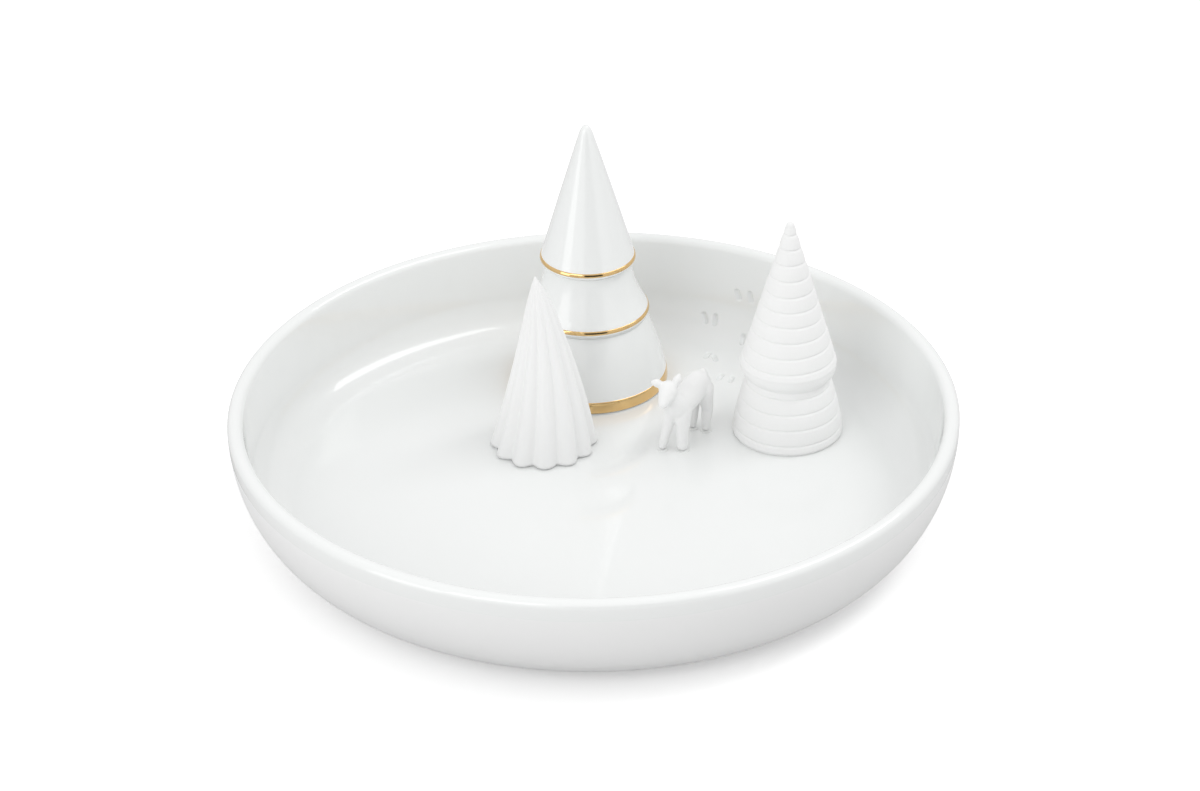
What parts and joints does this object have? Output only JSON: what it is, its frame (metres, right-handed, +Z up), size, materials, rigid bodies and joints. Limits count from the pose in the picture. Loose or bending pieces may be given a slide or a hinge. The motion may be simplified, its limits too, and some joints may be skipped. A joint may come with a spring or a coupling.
{
  "type": "ring dish",
  "caption": "Round porcelain ring dish with low curved walls and a foot ring, cone trees that hold rings, gold lines and a small fawn on its floor.",
  "frame": {"origin": "centre of the foot ring's lower face, on the table", "axes": "+Z up, +Y towards the back behind the tall tree, +X to the right where the grooved tree stands"},
  "size_m": [0.16, 0.16, 0.0705],
  "materials": {
    "porcelain": "clear glaze over white porcelain",
    "bisque": "unglazed matte white bisque",
    "gold": "bright fired gold lustre",
    "glue": "clear cured glue film"
  },
  "bodies": {
    "root": {"dish": "porcelain", "tall_tree": "porcelain", "gold_line_upper": "gold", "gold_line_middle": "gold", "gold_line_base": "gold", "pleated_tree": "bisque", "grooved_tree": "bisque", "fawn": "bisque", "tall_tree_glue": "glue", "pleated_tree_glue": "glue", "grooved_tree_glue": "glue", "fawn_glue": "glue"}
  },
  "joints": []
}
